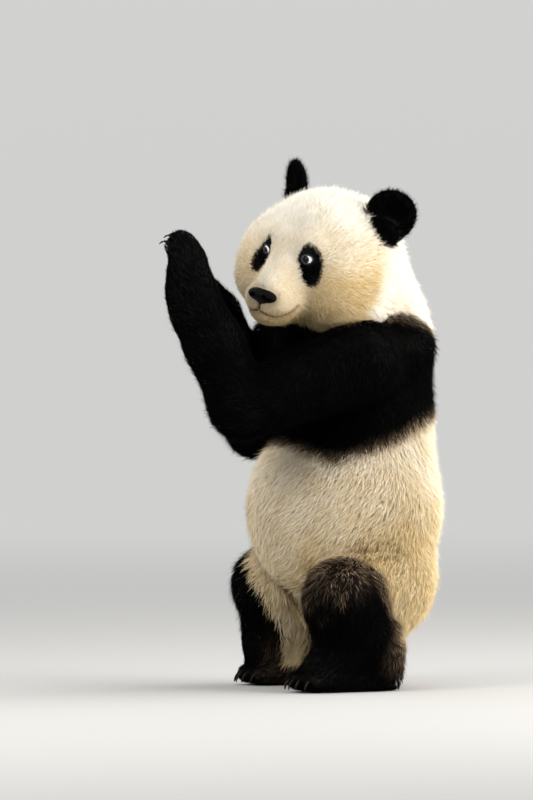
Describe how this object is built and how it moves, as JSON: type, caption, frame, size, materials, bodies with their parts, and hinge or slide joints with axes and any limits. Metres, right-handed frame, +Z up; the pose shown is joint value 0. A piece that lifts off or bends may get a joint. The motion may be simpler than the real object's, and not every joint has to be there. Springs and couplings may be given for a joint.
{
  "type": "giant panda figure",
  "caption": "Life-size still model of a young giant panda that stands on its bent hind legs, forepaws held up in front, head turned to its left.",
  "frame": {"origin": "centre of the bounding box in plan, at the level of the soles", "axes": "+Z up, -Y the way the chest and feet face, +X to the animal's own left"},
  "size_m": [0.481, 0.663, 1.0557],
  "materials": {
    "white_coat": "matte fur, off white",
    "cream_coat": "matte fur, cream with a yellow cast",
    "black_coat": "matte fur, black with a brown cast",
    "nose_skin": "moist bare skin",
    "eye": "wet and glossy"
  },
  "bodies": {
    "root": {"head": "white_coat", "muzzle": "white_coat", "eye_patch_left": "black_coat", "eye_left": "eye", "eye_patch_right": "black_coat", "eye_right": "eye", "nose": "nose_skin", "ear_left": "black_coat", "ear_right": "black_coat", "neck": "white_coat", "shoulders": "black_coat", "torso": "cream_coat", "tail": "cream_coat", "upper_arm_left": "black_coat", "forearm_left": "black_coat", "forepaw_left": "black_coat", "upper_arm_right": "black_coat", "forearm_right": "black_coat", "forepaw_right": "black_coat", "thigh_left": "black_coat", "shank_left": "black_coat", "hindpaw_left": "black_coat", "thigh_right": "black_coat", "shank_right": "black_coat", "hindpaw_right": "black_coat"}
  },
  "joints": []
}
